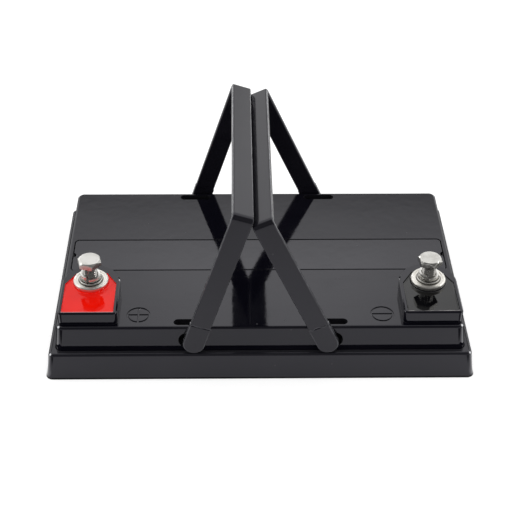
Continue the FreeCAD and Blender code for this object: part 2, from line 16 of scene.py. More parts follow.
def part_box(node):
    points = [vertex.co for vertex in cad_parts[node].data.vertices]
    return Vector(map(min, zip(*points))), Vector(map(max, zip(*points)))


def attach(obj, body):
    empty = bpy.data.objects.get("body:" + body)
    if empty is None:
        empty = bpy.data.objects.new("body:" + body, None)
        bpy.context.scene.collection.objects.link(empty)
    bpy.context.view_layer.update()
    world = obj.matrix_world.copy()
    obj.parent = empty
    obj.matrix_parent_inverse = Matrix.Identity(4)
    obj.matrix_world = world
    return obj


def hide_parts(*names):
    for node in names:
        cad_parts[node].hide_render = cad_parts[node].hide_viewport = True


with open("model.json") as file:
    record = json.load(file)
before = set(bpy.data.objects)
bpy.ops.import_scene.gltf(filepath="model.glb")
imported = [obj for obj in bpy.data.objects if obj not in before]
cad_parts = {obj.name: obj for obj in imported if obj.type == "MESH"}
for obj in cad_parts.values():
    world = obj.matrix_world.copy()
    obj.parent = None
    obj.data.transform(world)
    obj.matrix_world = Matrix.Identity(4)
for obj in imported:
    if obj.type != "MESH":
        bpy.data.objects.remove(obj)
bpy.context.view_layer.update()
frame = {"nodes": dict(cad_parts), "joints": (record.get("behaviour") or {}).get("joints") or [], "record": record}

MM = 0.001
scene = bpy.context.scene
print("solids:", len(frame["nodes"]))

# %% [markdown]
# ## Camera
# The lens and the place of the camera were found by matching the corners of the lid, the rings
# and the vent strip with where they appear in the picture. The tilt, the turn and the slight roll
# of the camera are given as angles, so the turning matrix is built from three unit vectors.

# %% Camera
CAMERA_AT = Vector((-13.69, -582.66, 464.96)) * MM
PITCH, YAW, ROLL = (math.radians(a) for a in (36.73, 1.19, 0.49))
FOCAL_PIXELS = 1259.3
IMAGE_WIDTH = 512
SENSOR = 36.0

ahead = Vector((math.sin(YAW) * math.cos(PITCH), math.cos(YAW) * math.cos(PITCH), -math.sin(PITCH)))
level = Vector((math.cos(YAW), -math.sin(YAW), 0))
upright = level.cross(ahead)
right = level * math.cos(ROLL) + upright * math.sin(ROLL)
above = upright * math.cos(ROLL) - level * math.sin(ROLL)

camera = bpy.data.objects.new("camera", bpy.data.cameras.new("camera"))
scene.collection.objects.link(camera)
turn = Matrix((right, above, -ahead)).transposed().to_4x4()
camera.matrix_world = Matrix.Translation(CAMERA_AT) @ turn
camera.data.sensor_width = SENSOR
camera.data.lens = FOCAL_PIXELS / IMAGE_WIDTH * SENSOR
camera.data.clip_start, camera.data.clip_end = 0.01, 50
scene.camera = camera
scene.view_settings.view_transform = "Standard"
print("lens in mm:", round(camera.data.lens, 1))

# %% [markdown]
# ## Writing shader maths as plain expressions
# A shader is a graph of small nodes. Wrapping a socket in a class lets `1 - mask * 0.3` build
# the Math nodes by itself, which reads better than a long list of links. Colours never pass
# through a Math node, because it would turn them grey: they are blended by a Mix node.

# %% One way to add a node
def new_node(tree, kind, settings=None, **sockets):
    """Adds a node with its settings, and then its sockets' values or links. i0 is socket 0."""
    node = tree.nodes.new(kind)
    for key, item in (settings or {}).items():
        setattr(node, key, item)
    for key, item in sockets.items():
        numbered = key[0] == "i" and key[1:].isdigit()
        slot = node.inputs[int(key[1:]) if numbered else key.replace("_", " ")]
        if isinstance(item, Value):
            tree.links.new(item.socket, slot)
        else:
            slot.default_value = item
    return node


def maths(operation, *terms):
    """A Math node of numbers and at least one Value."""
    tree = next(term.tree for term in terms if isinstance(term, Value))
    slots = {f"i{k}": term for k, term in enumerate(terms)}
    return Value(tree, new_node(tree, "ShaderNodeMath", {"operation": operation}, **slots).outputs[0])


# %% Sockets that add and multiply
class Value:
    """A number that varies over a surface: one output socket of a node tree."""

    def __init__(self, tree, socket):
        self.tree, self.socket = tree, socket

    def __add__(self, other):
        return maths("ADD", self, other)

    def __sub__(self, other):
        return maths("SUBTRACT", self, other)

    def __rsub__(self, other):
        return maths("SUBTRACT", other, self)

    def __mul__(self, other):
        return maths("MULTIPLY", self, other)

    def __truediv__(self, other):
        return maths("DIVIDE", self, other)

    def __pow__(self, other):
        return maths("POWER", self, other)

    __radd__, __rmul__ = __add__, __mul__

    def absolute(self):
        return maths("ABSOLUTE", self)

    def sine(self):
        return maths("SINE", self)

    def at_least(self, other):
        return maths("MAXIMUM", self, other)

    def at_most(self, other):
        return maths("MINIMUM", self, other)

    def below(self, edge):
        return maths("LESS_THAN", self, edge)

    def rising(self, low, high):
        """0 up to low, 1 from high on, smooth in between."""
        node = new_node(self.tree, "ShaderNodeMapRange", {"interpolation_type": "SMOOTHSTEP"},
                        Value=self, From_Min=low, From_Max=high)
        return Value(self.tree, node.outputs["Result"])

    def falling(self, low, high):
        """1 up to low, 0 from high on, smooth in between."""
        return 1 - self.rising(low, high)

    def within(self, start, full, fading, gone):
        """0 up to start, 1 from full to fading, 0 again from gone on."""
        return self.rising(start, full) * self.falling(fading, gone)


# %% A tree of nodes
class Graph:
    """The node tree of a material or a world."""

    def __init__(self, owner):
        owner.use_nodes = True
        self.tree = owner.node_tree
        self.tree.nodes.clear()

    def add(self, kind, settings=None, out=0, **sockets):
        """Adds a node and gives its output."""
        node = new_node(self.tree, kind, settings, **sockets)
        return Value(self.tree, node.outputs[out]) if node.outputs else node

    def place(self):
        return self.add("ShaderNodeTexCoord", out="Object")

    def stretched(self, scale):
        """Object coordinates, stretched along the axes."""
        return self.add("ShaderNodeMapping", Vector=self.place(), Scale=scale)

    def axes(self, vector=None):
        """The three parts of a vector, or of the place on the piece."""
        node = new_node(self.tree, "ShaderNodeSeparateXYZ", i0=vector or self.place())
        return [Value(self.tree, output) for output in node.outputs]

    def rays(self):
        """Masks: seen by the camera itself, and seen in a mirror or through glass."""
        node = new_node(self.tree, "ShaderNodeLightPath")
        seen, mirrored, through = (Value(self.tree, node.outputs[f"Is {kind} Ray"])
                                   for kind in ("Camera", "Glossy", "Transmission"))
        return seen, mirrored.at_least(through)

    def noise(self, scale, detail, roughness=0.5, vector=None):
        return self.add("ShaderNodeTexNoise", Vector=vector or self.place(), Scale=scale, Detail=detail,
                        Roughness=roughness)

    def dots(self, scale, radius):
        """1 on small scattered dots, 0 elsewhere."""
        return self.add("ShaderNodeTexVoronoi", Vector=self.place(), Scale=scale).below(radius)

    def mixed(self, mask, first, second):
        """A colour between two others."""
        return self.add("ShaderNodeMix", {"data_type": "RGBA"}, out=2, i0=mask, i6=first, i7=second)


print("shader helpers ready")

# %% [markdown]
# ## Studio
# A glossy black object shows little of its own colour: what the eye sees is the room mirrored in
# it. So the room is planned first, as a map of brightness by direction. Behind the object hangs
# a bright panel that stops overhead. The horizon is white, apart from a darker gap under the
# panel, and two narrow strips stand low on both sides of it for the light lines on the handles.
# Everything overhead and on the camera's side is dark, which draws the thin dark lines along the
# rounded edges. Matt surfaces see an even white room instead, so colours come out as written.

# %% Levels and angles of the room
# Two edges say where something starts and where it is full. Four add where it fades and is gone.
WHITE = (1, 1, 1, 1)
SKY_FOR_MATT = 0.93
HORIZON = 1.1                            # brightness of the mirrored room low down
PANEL, PANEL_FROM = 0.42, (34.5, 38.5)   # extra brightness, and degrees above the horizon
HOT_LINE = 0.12                          # the panel's brightest line
HOT_LINE_AT = (35.6, 37.0, 37.4, 39.2)
GAP_DARKENS = 0.62                       # the gap under the panel
GAP_AT = (18, 23, 32.5, 35.5)
SIDE_RISE, SIDE_RISE_FROM = 0.35, (17, 30)
STRIP, STRIP_UP_TO = 7.0, (12, 15)
STRIP_ASIDE = (0.50, 0.53, 0.60, 0.64)   # how far aside, as a share of how far back
DARK = 0.88                              # how far the room darkens
DARK_OVERHEAD_FROM = (79, 88)
DARK_BEFORE = (-0.14, 0.05)              # backward part of the direction
MIDDLE_ENDS = (0.20, 0.36)               # aside, as above
FALLOFF, FALLOFF_ASIDE = 0.34, (0.05, 0.26)
ROOM_SHIFT = 0.03                        # the panel hangs a little to the right
NEARLY_ASIDE = 0.02                      # keeps the share finite straight to the side


def level_of(*degrees):
    """Angles above the horizon as the Z part of a direction."""
    return [math.sin(math.radians(angle)) for angle in degrees]


# %% World
world = bpy.data.worlds.new("studio")
scene.world = world
sky = Graph(world)
seen, in_shine = sky.rays()
across, back, up = sky.axes(sky.add("ShaderNodeTexCoord", out="Generated"))
sideways = (across / back.at_least(NEARLY_ASIDE) - ROOM_SHIFT).absolute()
middle_part = sideways.falling(*MIDDLE_ENDS)
gap = up.within(*level_of(*GAP_AT)) * middle_part * GAP_DARKENS
panel = up.rising(*level_of(*PANEL_FROM))
hot_line = up.within(*level_of(*HOT_LINE_AT)) * HOT_LINE
side_rise = up.rising(*level_of(*SIDE_RISE_FROM)) * (1 - middle_part) * SIDE_RISE
falloff = 1 - sideways.rising(*FALLOFF_ASIDE) * FALLOFF * panel
strips = sideways.within(*STRIP_ASIDE) * up.falling(*level_of(*STRIP_UP_TO)) * STRIP
overhead = up.rising(*level_of(*DARK_OVERHEAD_FROM))
camera_side = back.falling(*DARK_BEFORE)
room = (HORIZON - gap + panel * PANEL + hot_line + side_rise) * falloff
gloss_level = (room + strips) * (1 - overhead * DARK) * (1 - camera_side * DARK)

matt_sky = sky.add("ShaderNodeBackground", Color=WHITE, Strength=SKY_FOR_MATT)
gloss_sky = sky.add("ShaderNodeBackground", Color=WHITE, Strength=gloss_level)
seen_sky = sky.add("ShaderNodeBackground", Color=WHITE, Strength=1.0)
lit = sky.add("ShaderNodeMixShader", Fac=in_shine, i1=matt_sky, i2=gloss_sky)
sky.add("ShaderNodeOutputWorld", Surface=sky.add("ShaderNodeMixShader", Fac=seen, i1=lit, i2=seen_sky))
print("world: matt", SKY_FOR_MATT, "mirrored horizon", HORIZON)

# %% [markdown]
# ## Floor
# A pale sheet lies under the object. For the camera it is lifted to white by a little glow, which
# leaves the shadow in place. In the gloss it is planned as the room is: light beside the object,
# a painted dark reflection along each end for crisp dark outlines, and a painted light reflection by
# each front corner for the soft light bands there. Both are painted on the sheet and seen only in the
# gloss. Right at the foot a thin painted shadow shows where it stands.

# %% Levels and places on the floor
FLOOR_SIZE = 8.0
FLOOR_PAINT = (0.76, 0.76, 0.76, 1)
# painted contact shadow: the floor's colour under and right round the foot
FLOOR_PAINTED_SHADOW = (0.01, 0.01, 0.01, 1)      # the dark line where the object stands
FLOOR_LIFT = 0.51                        # glow for the camera
GLOSS_LIFT = 0.30                        # glow in the gloss
LIFT_STARTS = (-0.24, -0.07)             # from the front backwards, in metres
LEFT_SHARE, LEFT_TO_RIGHT = 0.75, (-0.16, 0.16)
# painted reflections: the flags are a dark one and the cards a light one, painted on the floor and seen only in
# the gloss
DARK_REFLECTION_STRENGTH = 0.9
DARK_REFLECTION_BEHIND_CORNER = (-0.058, -0.050)
DARK_REFLECTION_BEFORE_CORNER = (-0.14, -0.12, -0.094, -0.084)
LIGHT_REFLECTION_STRENGTH = 1.1
LIGHT_REFLECTION_AT = (-0.082, -0.074, -0.060, -0.052)
END_STRIP_FADES = (0.17, 0.22)           # flags and cards end here, in metres from the middle
FOOT_CORNER = 3.5 * MM
PAINTED_SHADOW_FADES = (0.1 * MM, 0.8 * MM)


def only(obj):
    """Object mode, with this object alone selected and active."""
    if bpy.context.object and bpy.context.object.mode != "OBJECT":
        bpy.ops.object.mode_set(mode="OBJECT")
    bpy.ops.object.select_all(action="DESELECT")
    if obj:
        obj.select_set(True)
    bpy.context.view_layer.objects.active = obj


# %% Floor
paint = bpy.data.materials.new("pale_floor")
g = Graph(paint)
seen, in_shine = g.rays()
x, y, _ = g.axes()
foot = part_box("case")[1]
past_corner = [(axis.absolute() - (reach - FOOT_CORNER)).at_least(0.0)
               for axis, reach in ((x, foot.x), (y, foot.y))]
outside = (past_corner[0] ** 2 + past_corner[1] ** 2) ** 0.5 - FOOT_CORNER
# painted shadow: the floor turns dark and loses its glow right at the foot
outside_painted_shadow = outside.rising(*PAINTED_SHADOW_FADES)
beside = y.rising(*LIFT_STARTS) * (LEFT_SHARE + x.rising(*LEFT_TO_RIGHT) * (1 - LEFT_SHARE))
past_end = x.absolute().within(foot.x, foot.x + 3 * MM, *END_STRIP_FADES)
# painted dark reflection, seen only in the gloss
dark_reflection_places = y.rising(*DARK_REFLECTION_BEHIND_CORNER) + y.within(*DARK_REFLECTION_BEFORE_CORNER)
painted_dark_reflection = in_shine * past_end * dark_reflection_places * DARK_REFLECTION_STRENGTH
# painted light reflection: a glow seen only in the gloss
painted_light_reflection = past_end * y.within(*LIGHT_REFLECTION_AT) * LIGHT_REFLECTION_STRENGTH
lift = (seen * FLOOR_LIFT + in_shine * (beside * GLOSS_LIFT * (1 - painted_dark_reflection) + painted_light_reflection)) * outside_painted_shadow
glow = g.add("ShaderNodeEmission", Color=WHITE, Strength=lift)
cloth = g.add("ShaderNodeBsdfDiffuse", Color=g.mixed(outside_painted_shadow * (1 - painted_dark_reflection), FLOOR_PAINTED_SHADOW, FLOOR_PAINT))
g.add("ShaderNodeOutputMaterial", Surface=g.add("ShaderNodeAddShader", i0=cloth, i1=glow))

only(None)
bpy.ops.mesh.primitive_plane_add(size=FLOOR_SIZE, location=(0, 0, -0.05 * MM))
floor = bpy.context.object
floor.name = "floor"
floor.data.materials.append(paint)
print("floor:", FLOOR_SIZE, "m")

# %% [markdown]
# ## Lamps
# The room already lights the object evenly. Two small weak lamps, one on each side, only add
# sparkle to rounded edges and to the metal.

# %% Lamps
LAMP_SIZE = 0.09
LAMP_POWER = 0.5
LAMP_AIM = Vector((0, 0, 0.03))


def side_lamp(name, place):
    lamp = bpy.data.objects.new(name, bpy.data.lights.new(name, "AREA"))
    lamp.data.shape = "RECTANGLE"
    lamp.data.size = lamp.data.size_y = LAMP_SIZE
    lamp.data.energy = LAMP_POWER
    lamp.location = place
    lamp.rotation_euler = (LAMP_AIM - Vector(place)).to_track_quat("-Z", "Y").to_euler()
    scene.collection.objects.link(lamp)


side_lamp("left_softbox", (-1.0, -0.03, 0.66))
side_lamp("right_softbox", (1.0, 0.0, 0.65))

# %% [markdown]
# ## Moulded black plastic
# The tray, the lid and the strip are injection moulded from a polished tool. Close up they still
# show a faint ripple from the flow of the melt, fine wiping scratches, a few specks of dust and
# slightly duller patches where hands have been. Each of these is one noise with its own scale.
# On top of that each moulding has its own places: pale patches, pockets that were never
# polished, and white painted glints on the corners. The pale patches are partly rubbed wear and
# partly painted highlights on the strap edges, and a paler ledge in the tray. Each place is a mask
# that the material is handed.

# %% Black plastic
DUST = (0.08, 0.08, 0.083, 1)
PALE_PATCH_COLOUR = (0.11, 0.11, 0.12, 1)
CORNER_GLINT_PAINT = (0.75, 0.76, 0.78, 1)
COOL_GLOSS = (0.93, 0.92, 1.0, 1)
PLASTIC_BUMP = 0.6 * MM


def surface(name, slots, metal=0.0, ior=1.5):
    """A material; slots gives the shader's other sockets and the height, strength and depth of its bump."""
    material = bpy.data.materials.new(name)
    g = Graph(material)
    parts = slots(g)
    height, strength, distance = parts.pop("bump")
    normal = g.add("ShaderNodeBump", Height=height, Strength=strength, Distance=distance)
    shader = g.add("ShaderNodeBsdfPrincipled", Metallic=metal, IOR=ior, Normal=normal, **parts)
    g.add("ShaderNodeOutputMaterial", Surface=shader)
    return material


def nowhere(g):
    """The mask of a place that a moulding doesn't have."""
    return 0.0


def black_plastic(name, deep, pale, polish, dull, ripple=0.12, grain=0.25, ior=1.49,
                  pale_patch_at=nowhere, matt_at=nowhere, glint_at=nowhere):
    """Two near blacks in patches, with a roughness from polish to dull."""
    def slots(g):
        patches = g.noise(22, 3).rising(0.42, 0.68)
        smear = g.noise(60, 4, vector=g.stretched((0.35, 1.6, 1))).rising(0.5, 0.75)
        wiped = g.noise(900, 2, vector=g.stretched((0.05, 1.2, 1))).rising(0.66, 0.74)
        dust = g.dots(160, 0.055) * g.noise(38, 1).rising(0.56, 0.6)
        flow = g.noise(26, 1) * ripple + g.noise(190, 2) * 0.03 + g.noise(2200, 2) * 0.012 * grain
        # pale patches: partly wear and partly painted edge highlights on the straps, a paler ledge in the tray
        pale_patch = pale_patch_at(g)
        colour = g.mixed(dust * 0.5, g.mixed(patches, deep, pale), DUST)
        colour = g.mixed(pale_patch, colour, PALE_PATCH_COLOUR)
        duller = (patches + smear) * ((dull - polish) * 0.5)
        return {
            # painted highlights: white glints on the upper corners
            "Base_Color": g.mixed(glint_at(g), colour, CORNER_GLINT_PAINT),
            "Roughness": polish + duller + dust * 0.35 + wiped * 0.05 + pale_patch * 0.2 + matt_at(g) * 0.7,
            "Specular_Tint": COOL_GLOSS,
            "bump": (flow + dust * 0.02 - wiped * 0.003, 1.0, PLASTIC_BUMP),
        }
    return surface(name, slots, ior=ior)


# %% Places on the mouldings
def painted_corner_glints(half_x, half_y, height, size):
    """Painted highlights: white glints on the upper corners of a moulding, all sizes in mm."""
    def mask(g):
        x, y, z = g.axes()
        from_x, from_y = x.absolute() - half_x * MM, y.absolute() - half_y * MM
        away = (from_x ** 2 + from_y ** 2 + (z - height * MM) ** 2) ** 0.5
        return away.falling(0.6 * size * MM, size * MM)
    return mask


LEDGE_PALER = 0.14
RIM_INSIDE = ((113.2 * MM, 113.6 * MM), (67.7 * MM, 68.1 * MM))   # along the length and the width
POCKET_ALONG = (27 * MM, 28 * MM, 47.5 * MM, 48 * MM)
POCKET_ACROSS = (56 * MM, 57 * MM, 64.1 * MM, 64.3 * MM)
POCKET_TOP = (30.1 * MM, 30.4 * MM)


def paler_ledge(g):
    """The ledge inside the tray's rim is painted a little paler and rougher."""
    x, y, _ = g.axes()
    return x.absolute().falling(*RIM_INSIDE[0]) * y.absolute().falling(*RIM_INSIDE[1]) * LEDGE_PALER


def handle_pockets(g):
    """The pockets of the handles, which the tool's polish never reaches."""
    x, y, z = g.axes()
    return x.absolute().within(*POCKET_ALONG) * y.absolute().within(*POCKET_ACROSS) * z.falling(*POCKET_TOP)


# %% The plastics of lid, strip and tray
moulded_lid = black_plastic(
    "moulded_lid", (0.0026, 0.0025, 0.0050, 1), (0.0040, 0.0038, 0.0066, 1), 0.045, 0.12,
    matt_at=handle_pockets, glint_at=painted_corner_glints(108.6, 63.1, 30.13, 0.9))
moulded_strip = black_plastic(
    "moulded_strip", (0.0028, 0.0027, 0.0052, 1), (0.0044, 0.0042, 0.0070, 1), 0.055, 0.13, ior=1.55)
moulded_case = black_plastic(
    "moulded_case", (0.0076, 0.0074, 0.0104, 1), (0.0100, 0.0097, 0.0130, 1), 0.07, 0.18,
    pale_patch_at=paler_ledge, glint_at=painted_corner_glints(113.71, 68.21, 15.16, 0.8))
print("black plastics:", moulded_lid.name, moulded_strip.name, moulded_case.name)

# %% [markdown]
# ## Welding and softening a copy of a solid
# A solid arrives as loose triangles with razor-sharp edges. Real mouldings never have those: a
# thin line of light runs along each edge. So a copy is welded, its flat areas are joined into
# single faces, a small bevel goes on every sharp edge, and the shading normals are weighted so
# that the large flats stay perfectly flat in a mirror finish.

# %% Copies of solids
WELD = 0.003 * MM
SAME_PLANE = math.radians(0.6)


def welded_copy(node, name):
    mesh = frame["nodes"][node].data.copy()
    mesh.materials.clear()
    obj = bpy.data.objects.new(name, mesh)
    scene.collection.objects.link(obj)
    only(obj)
    bpy.ops.object.mode_set(mode="EDIT")
    bpy.ops.mesh.select_all(action="SELECT")
    bpy.ops.mesh.remove_doubles(threshold=WELD)
    bpy.ops.mesh.dissolve_limited(angle_limit=SAME_PLANE)
    bpy.ops.object.mode_set(mode="OBJECT")
    return obj


# %% Soft edges and smooth shading
def modified(obj, kind, **settings):
    """Adds a modifier and applies it at once."""
    only(obj)
    modifier = obj.modifiers.new(kind.lower(), kind)
    for key, item in settings.items():
        setattr(modifier, key, item)
    bpy.ops.object.modifier_apply(modifier=modifier.name)


def shaded(obj, angle=40):
    only(obj)
    bpy.ops.object.shade_smooth_by_angle(angle=math.radians(angle))
    modified(obj, "WEIGHTED_NORMAL", keep_sharp=True, weight=80)


def softened(obj, width, sharper_than=34):
    """Bevels every edge that is sharper than an angle in degrees."""
    modified(obj, "BEVEL", width=width, segments=2, limit_method="ANGLE",
             angle_limit=math.radians(sharper_than), use_clamp_overlap=False)
    shaded(obj)


# %% Paint, body and slot
def painted(obj, material):
    obj.data.materials.clear()
    obj.data.materials.append(material)


def finished(obj, body, node):
    """Gives a piece its body, and hides the solid that it stands for."""
    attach(obj, body)
    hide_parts(node)
    print(f"{obj.name}: {sum(len(p.vertices) - 2 for p in obj.data.polygons)} triangles")


def soft_copy(node, name, edge, material, body):
    """A finished piece in the solid's own shape, with soft edges."""
    obj = welded_copy(node, name)
    softened(obj, edge)
    painted(obj, material)
    finished(obj, body, node)


# %% [markdown]
# ## Tray, lid and vent strip
# These three are the large glossy mouldings. Their shapes are right in the solids, so they only
# need soft edges. The strip lies in a narrow groove, and its edges are softer than the groove's.

# %% Tray, lid and strip
soft_copy("case", "case_tray", 0.18 * MM, moulded_case, "root")
soft_copy("lid", "lid_moulding", 0.12 * MM, moulded_lid, "root")
soft_copy("vent_cover", "vent_strip", 0.14 * MM, moulded_strip, "root")

# %% [markdown]
# ## Strap handles
# Each handle is one flat strap bent into a U, with a thicker round pad at each end. Its long
# edges and the rims of its pads are painted a little pale: partly wear from handling, partly
# painted highlights along the edges. Where the pad meets the strap the mould left a thin, uneven
# line of flash. These are masks, so they are worked out in the strap's own directions: along the
# leaning arm and across it, measured from its hinge. A third mask keeps the studs matt, because
# they stand in the dark pockets and would only catch false light.

# %% The strap's own directions
ARM_HALF_WIDTH = 5.65 * MM
GRIP_DEPTH = 8 * MM       # the grip is what lies within this of the top


def strap_directions(side):
    """The hinge, and the unit vectors along and across the leaning arm."""
    places = {joint["name"]: Vector(joint["pos_m"]) for joint in frame["joints"]}
    hinge = places[f"{side}_handle_hinge"]
    corners = [v.co for v in frame["nodes"][f"handle_{side}"].data.vertices]
    top = max(co.z for co in corners)
    grip = [co for co in corners if co.z > top - GRIP_DEPTH]
    along = sum(grip, Vector()) / len(grip) - hinge
    along.y = 0
    along.normalize()
    return hinge, along, Vector((along.z, 0, -along.x))


# %% Worn places on the straps
# pale long edges and pad rims: partly wear, partly painted highlights
PALE_EDGE_BAND = (ARM_HALF_WIDTH - 0.55 * MM, ARM_HALF_WIDTH - 0.15 * MM)
FLASH_AT = 12.4 * MM                     # from the hinge, where the pad ends
FLASH_WAVES = 2.6 * MM
FLASH_WIDTH = (0.08 * MM, 0.28 * MM)
OUTER_FACE = (66.3 * MM, 66.6 * MM)
STUD_INSIDE = (64.2 * MM, 64.6 * MM)
STUD_UP_TO = 30 * MM


def pale_strap_marks(side):
    """The pale long edges and pad rims, partly wear and partly painted highlights, and the line of flash on the
    outer face.
    """
    hinge, along, across = strap_directions(side)

    def mask(g):
        x, y, z = g.axes()
        length = (x - hinge.x) * along.x + (z - hinge.z) * along.z
        offset = (x - hinge.x) * across.x + (z - hinge.z) * across.z
        reach = (length.at_most(0.0) ** 2 + offset ** 2) ** 0.5
        uneven = g.noise(240, 3).rising(0.38, 0.62) * 0.5 + 0.3
        wave = (g.noise(230, 2) - 0.5) * FLASH_WAVES
        flash = (length + wave - FLASH_AT).absolute().falling(*FLASH_WIDTH) * y.absolute().rising(*OUTER_FACE)
        return (reach.rising(*PALE_EDGE_BAND) * uneven * 0.75).at_least(flash * 0.5)
    return mask


def studs(g):
    """The stud and snap head, hidden in the lid's pocket."""
    _, y, z = g.axes()
    return y.absolute().falling(*STUD_INSIDE) * z.below(STUD_UP_TO)


# %% Straps
for side in ("left", "right"):
    moulded_strap = black_plastic(
        f"moulded_{side}_strap", (0.0048, 0.0045, 0.0070, 1), (0.0070, 0.0066, 0.0096, 1), 0.11, 0.22,
        ripple=0.06, grain=1.0, pale_patch_at=pale_strap_marks(side), matt_at=studs)
    soft_copy(f"handle_{side}", f"{side}_strap", 0.22 * MM, moulded_strap, f"{side}_handle")

# %% [markdown]
# ## Bright metal
# The rings are turned and tinned, so they show faint circular tool marks. The bolts and washers
# are plated: smoother, slightly darker, with soft scuffs. One bolt's head is satin, the other's
# nearly polished. Just outside the foot of each washer a thin dark line of painted shade parts one
# bright ring from the next.

# %% Plating
POLES = ("positive", "negative")
PAINTED_GAP_SHADE = (0.06, 0.055, 0.05, 1)
PAINTED_GAP_SHADE_WIDTH = (0.15 * MM, 0.4 * MM)
TOOL_MARKS = 0.16 * MM    # from one circular mark to the next
METAL_BUMP = 0.05 * MM


def plated(name, light, dark, polish):
    """Plain plating with clouds and scuffs."""
    return surface(name, lambda g: plating_slots(g, light, dark, polish), metal=1.0)


def plating_slots(g, light, dark, polish):
    scuffs = g.noise(420, 3).rising(0.45, 0.75)
    clouds = g.noise(130, 2).rising(0.35, 0.7)
    return {
        "Base_Color": g.mixed(clouds, light, dark),
        "Roughness": polish + scuffs * 0.08 + clouds * 0.04,
        "bump": (g.noise(2600, 2) * 0.02 + g.noise(300, 1) * 0.05, 0.5, METAL_BUMP),
    }


def turned(name, light, dark, polish, centre, marks, gap_shade_at):
    """Plating with circular tool marks and a ring of painted shade at a radius."""
    def slots(g):
        parts = plating_slots(g, light, dark, polish)
        x, y, _ = g.axes()
        radius = ((x - centre.x) ** 2 + (y - centre.y) ** 2) ** 0.5
        # painted shade: a thin dark ring just outside the washer that sits above
        painted_gap_shade = (radius - gap_shade_at).absolute().falling(*PAINTED_GAP_SHADE_WIDTH) * 0.9
        parts["Base_Color"] = g.mixed(painted_gap_shade, parts["Base_Color"], PAINTED_GAP_SHADE)
        height, strength, distance = parts["bump"]
        height = height + (radius * (2 * math.pi / TOOL_MARKS)).sine() * marks
        parts["bump"] = (height, strength, distance)
        return parts
    return surface(name, slots, metal=1.0)


# %% Metals
def centre_of(node):
    low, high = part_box(node)
    return (low + high) / 2


TERMINAL = {pole: centre_of(f"{pole}_terminal") for pole in POLES}
SPLIT_RADIUS = 5.6 * MM
flat_low, flat_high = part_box("positive_flat_washer")
FLAT_RADIUS = (flat_high - flat_low).x / 2

head_plating = {
    "positive": plated("satin_plating", (0.70, 0.69, 0.66, 1), (0.60, 0.59, 0.56, 1), 0.32),
    "negative": plated("bright_plating", (0.68, 0.67, 0.64, 1), (0.56, 0.55, 0.52, 1), 0.15),
}
thread_plating = plated("thread_plating", (0.46, 0.45, 0.43, 1), (0.30, 0.29, 0.27, 1), 0.12)
spring_plating = plated("spring_plating", (0.84, 0.83, 0.80, 1), (0.72, 0.71, 0.68, 1), 0.30)
washer_plating = {
    pole: turned(f"washer_plating_{pole}", (0.70, 0.69, 0.66, 1), (0.60, 0.59, 0.56, 1), 0.22,
                 TERMINAL[pole], 0.03, SPLIT_RADIUS + 0.25 * MM) for pole in POLES}
tinned = {
    pole: turned(f"tinned_{pole}", (0.84, 0.82, 0.77, 1), (0.74, 0.72, 0.67, 1), 0.33,
                 TERMINAL[pole], 0.12, FLAT_RADIUS + 0.2 * MM) for pole in POLES}
print("flat washer's radius in mm:", round(FLAT_RADIUS / MM, 2))

# %% [markdown]
# ## Poured resin
# The pools round the rings are cast in place. Liquid resin climbs a little up every wall that it
# meets, so the surface is lower in the middle than at its edges. The top face is lifted to the
# frame's top and inset four times, steeply first and then less and less, which makes that edge.
# The red resin's gloss is weaker than the black's, because a full one turns it pink in a white room.

# %% Resin
PAINTED_EDGE_HIGHLIGHT = (0.8, 0.76, 0.76, 1)
EDGE_HIGHLIGHT_AT = (1.0 * MM, 1.35 * MM)         # from the pool's front edge
RESIN_BUMP = 0.6 * MM


def resin(name, pole, colour, deep, gloss):
    """Clouded glossy resin with fine bubbles and a painted highlight, a pale broken line, along its front edge."""
    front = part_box(f"{pole}_seal")[0].y

    def slots(g):
        clouds = g.noise(70, 2).rising(0.35, 0.7)
        _, y, _ = g.axes()
        # painted highlight: a pale broken line along the pool's front edge
        painted_edge_highlight = (y - front).falling(*EDGE_HIGHLIGHT_AT) * g.noise(150, 2).rising(0.3, 0.6) * 0.7
        bubbles = g.dots(420, 0.05)
        return {
            "Base_Color": g.mixed(painted_edge_highlight, g.mixed(clouds, colour, deep), PAINTED_EDGE_HIGHLIGHT),
            "Roughness": 0.05 + clouds * 0.03 + bubbles * 0.05,
            "Specular_IOR_Level": gloss,
            "bump": (g.noise(45, 1) * 0.14 + g.noise(240, 2) * 0.015 + bubbles * 0.01, 1.0, RESIN_BUMP),
        }
    return surface(name, slots)


# %% Pools
RESIN_CLIMB = 0.17 * MM   # up to the top of the frame
EDGE_STEPS = ((0.10, 0.50), (0.15, 0.16), (0.30, 0.10), (0.6, 0.04))   # inwards and down, in mm


def pool(pole, material):
    obj = welded_copy(f"{pole}_seal", f"{pole}_resin_pool")
    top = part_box(f"{pole}_seal")[1].z
    bpy.ops.object.mode_set(mode="EDIT")
    bpy.ops.mesh.select_all(action="DESELECT")
    bpy.ops.object.mode_set(mode="OBJECT")
    for face in obj.data.polygons:
        face.select = face.normal.z > 0.99 and abs(face.center.z - top) < 0.01 * MM
    bpy.ops.object.mode_set(mode="EDIT")
    bpy.ops.mesh.select_mode(type="FACE")
    bpy.ops.transform.translate(value=(0, 0, RESIN_CLIMB))
    for inwards, down in EDGE_STEPS:
        bpy.ops.mesh.inset(thickness=inwards * MM, depth=-down * MM, use_even_offset=False)
    bpy.ops.object.mode_set(mode="OBJECT")
    shaded(obj, 60)
    painted(obj, material)
    finished(obj, "root", f"{pole}_seal")


red = resin("poured_red_resin", "positive", (0.93, 0.009, 0.003, 1), (0.85, 0.006, 0.002, 1), 0.25)
black = resin("poured_black_resin", "negative", (0.0024, 0.0024, 0.0030, 1), (0.0045, 0.0045, 0.0054, 1), 0.5)
pool("positive", red)
pool("negative", black)

